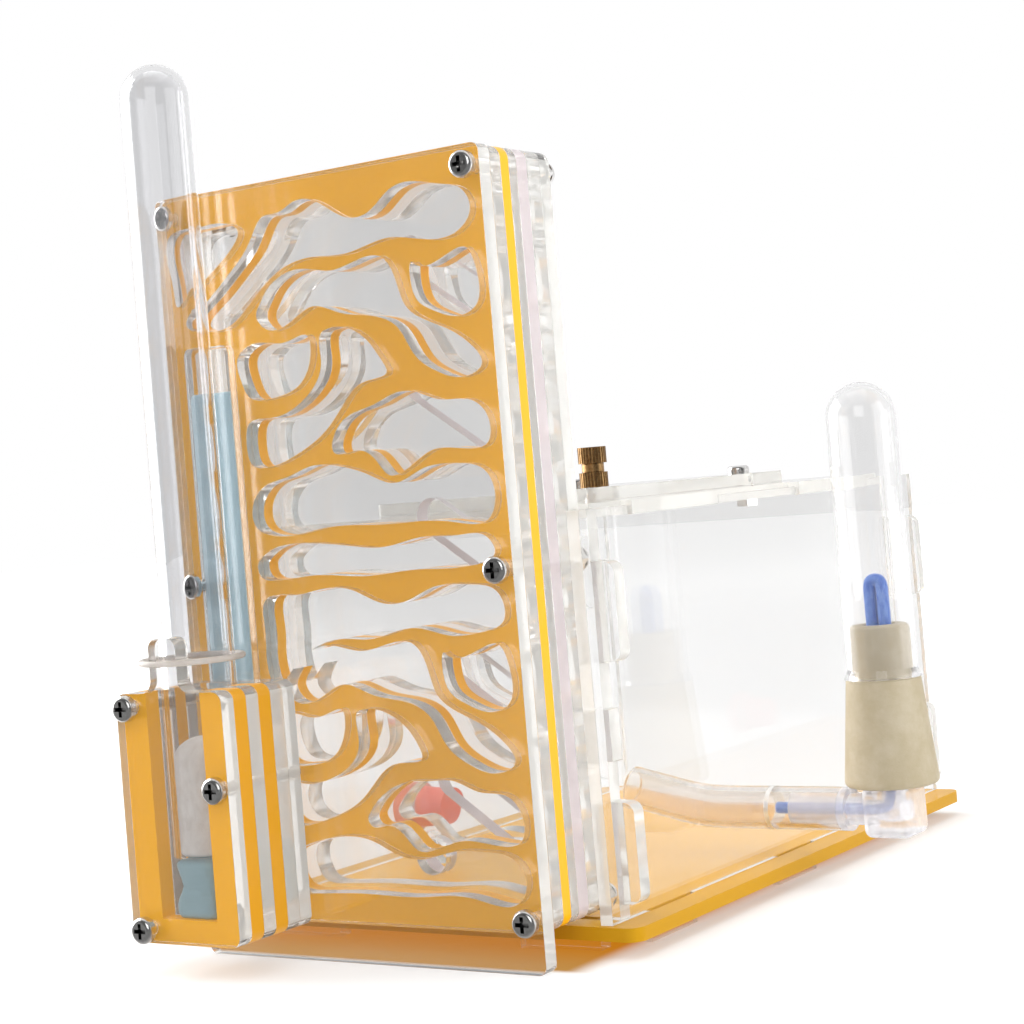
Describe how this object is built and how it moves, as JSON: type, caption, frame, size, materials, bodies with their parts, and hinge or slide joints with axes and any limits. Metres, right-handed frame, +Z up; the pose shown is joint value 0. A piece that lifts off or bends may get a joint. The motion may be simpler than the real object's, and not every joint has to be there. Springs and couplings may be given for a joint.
{
  "type": "ant habitat",
  "caption": "Clear acrylic ant nest tower with tunnels, a watering tube module, a lidded foraging box and a side feeder tube.",
  "frame": {"origin": "middle of the foot of the tower's front cover, on the ground", "axes": "+X right along the tower's front, +Y from the tower back through the foraging box, +Z up"},
  "size_m": [0.1533, 0.2208, 0.2028],
  "materials": {
    "clear_acrylic": "clear polished sheet",
    "milky_acrylic": "clear sheet, faintly milky",
    "amber_acrylic": "amber tinted sheet",
    "clear_tube": "clear moulded tube",
    "clear_hose": "clear soft hose",
    "chrome_fastener": "bright plated",
    "knurled_brass": "knurled",
    "cotton": "loose fibre",
    "blue_sponge": "open cell foam",
    "ring_rubber": "translucent",
    "red_rubber": "satin",
    "cream_rubber": "matte",
    "blue_wick": "braided cotton"
  },
  "bodies": {
    "habitat": {"front_cover": "clear_acrylic", "tunnel_plate_clear": "clear_acrylic", "divider_plate": "clear_acrylic", "rear_gallery_plate": "clear_acrylic", "back_cover": "clear_acrylic", "reservoir_cover": "clear_acrylic", "reservoir_spacer": "clear_acrylic", "reservoir_inner_frame": "clear_acrylic", "reservoir_back": "clear_acrylic", "right_wall": "clear_acrylic", "left_wall": "clear_acrylic", "rear_wall": "clear_acrylic", "top_plate": "clear_acrylic", "hatch_strip": "clear_acrylic", "gallery_spacer": "milky_acrylic", "tunnel_plate_amber": "amber_acrylic", "reservoir_frame_front": "amber_acrylic", "reservoir_frame_rear": "amber_acrylic", "base_plate": "amber_acrylic", "feeder_hose": "clear_hose", "tower_screws": "chrome_fastener", "tower_nuts": "chrome_fastener", "corner_screw": "chrome_fastener", "reservoir_screws": "chrome_fastener", "strip_screws": "chrome_fastener", "strip_nuts": "chrome_fastener", "hinge_pins": "chrome_fastener", "humidity_sponge": "blue_sponge", "sponge_block": "blue_sponge", "neck_ring": "ring_rubber"},
    "hatch": {"hatch": "clear_acrylic", "knob_screw": "chrome_fastener"},
    "knob": {"hatch_knob": "knurled_brass"},
    "water_tube": {"water_tube": "clear_tube", "cotton_plug": "cotton"},
    "feeder_elbow": {"feeder_elbow": "clear_tube", "feeder_stopper": "cream_rubber", "feeder_wick": "blue_wick"},
    "feeder_tube": {"feeder_tube": "clear_tube"},
    "port_plug": {"port_plug": "red_rubber"}
  },
  "joints": [
    {"name": "hatch_swing", "type": "hinge", "parent": "habitat", "child": "hatch", "pos_m": [0, 0.1312, 0.09815], "axis": [-1, 0, 0], "range_deg": [0, 95]},
    {"name": "knob_spin", "type": "hinge", "parent": "hatch", "child": "knob", "pos_m": [0.0245, 0.0683, 0.0997], "axis": [0, 0, 1], "continuous": true},
    {"name": "water_tube_lift", "type": "slide", "parent": "habitat", "child": "water_tube", "axis": [0, 0, 1], "range_m": [0, 0.05]},
    {"name": "feeder_swivel", "type": "hinge", "parent": "habitat", "child": "feeder_elbow", "pos_m": [0.0831, 0.0952, 0.0183], "axis": [1, 0, 0], "range_deg": [-90, 90]},
    {"name": "feeder_tube_pull", "type": "slide", "parent": "feeder_elbow", "child": "feeder_tube", "axis": [0, 0, 1], "range_m": [0, 0.025]},
    {"name": "plug_pull", "type": "slide", "parent": "habitat", "child": "port_plug", "axis": [-1, 0, 0], "range_m": [0, 0.0115]}
  ]
}
